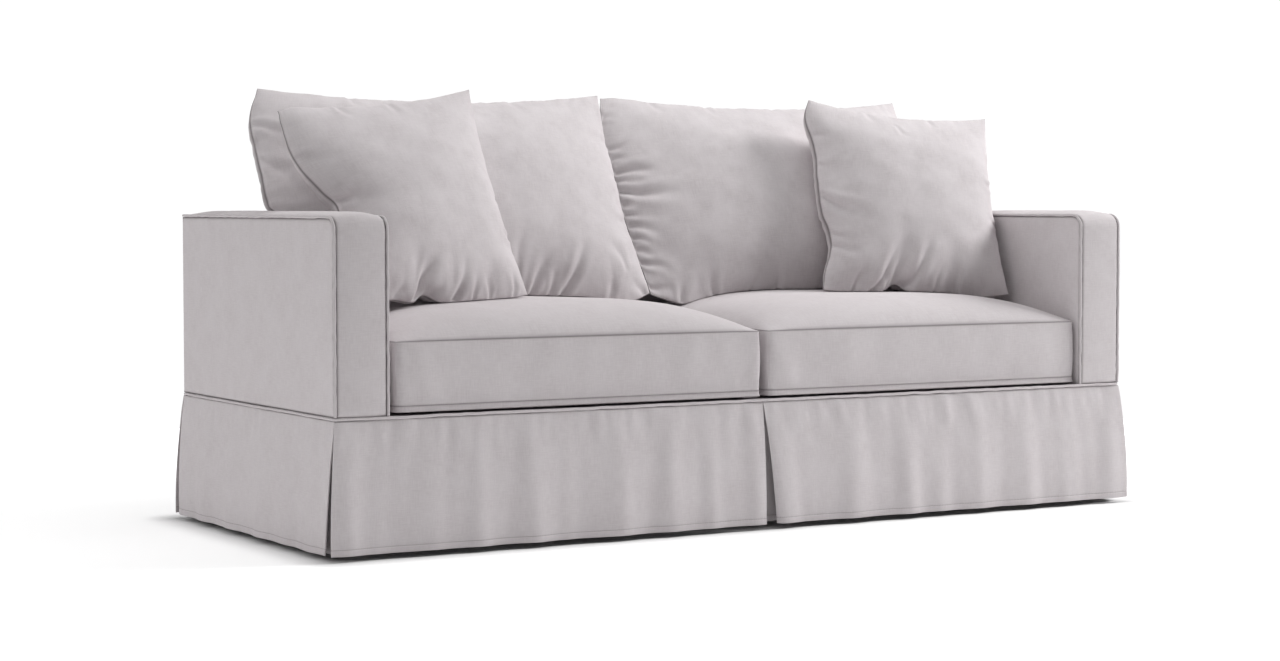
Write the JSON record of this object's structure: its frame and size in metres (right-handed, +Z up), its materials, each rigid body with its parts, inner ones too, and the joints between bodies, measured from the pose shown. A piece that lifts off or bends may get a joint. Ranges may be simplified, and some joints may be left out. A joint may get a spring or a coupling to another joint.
{
  "type": "sofa slipcover",
  "caption": "Fitted loose cover for a square-armed sofa: piped panels round a hollow for the frame, a pleated skirt to the floor, and filled seat, back and throw cushions of the same cloth.",
  "frame": {"origin": "on the middle of the cover's footprint, level with the hem", "axes": "+X along the sofa, to the right as seen from in front, +Y from the front to the back, +Z up"},
  "size_m": [2.039, 0.8595, 0.9461],
  "materials": {
    "panel_cloth": "matte brushed upholstery cloth, pale pinkish grey",
    "piping_cloth": "the same cloth, cut on the bias and folded round a cord",
    "cushion_cloth": "the same cloth, over the filled cushions"
  },
  "bodies": {
    "root": {"arm_outer_left": "panel_cloth", "arm_outer_right": "panel_cloth", "arm_inner_left": "panel_cloth", "arm_inner_right": "panel_cloth", "arm_boxing_left": "panel_cloth", "arm_boxing_right": "panel_cloth", "back_outer_panel": "panel_cloth", "back_inner_panel": "panel_cloth", "back_boxing": "panel_cloth", "seat_deck": "panel_cloth", "skirt_front_left": "panel_cloth", "skirt_front_right": "panel_cloth", "skirt_side_left": "panel_cloth", "skirt_side_right": "panel_cloth", "skirt_back": "panel_cloth", "pleat_underlay_middle": "panel_cloth", "pleat_underlay_front_left": "panel_cloth", "pleat_underlay_front_right": "panel_cloth", "pleat_underlay_back_left": "panel_cloth", "pleat_underlay_back_right": "panel_cloth", "piping_outer": "piping_cloth", "piping_inner": "piping_cloth", "piping_skirt": "piping_cloth", "seat_cushion_left": "cushion_cloth", "seat_cushion_right": "cushion_cloth", "back_cushion_left": "cushion_cloth", "back_cushion_right": "cushion_cloth", "throw_pillow_left": "cushion_cloth", "throw_pillow_right": "cushion_cloth"}
  },
  "joints": []
}
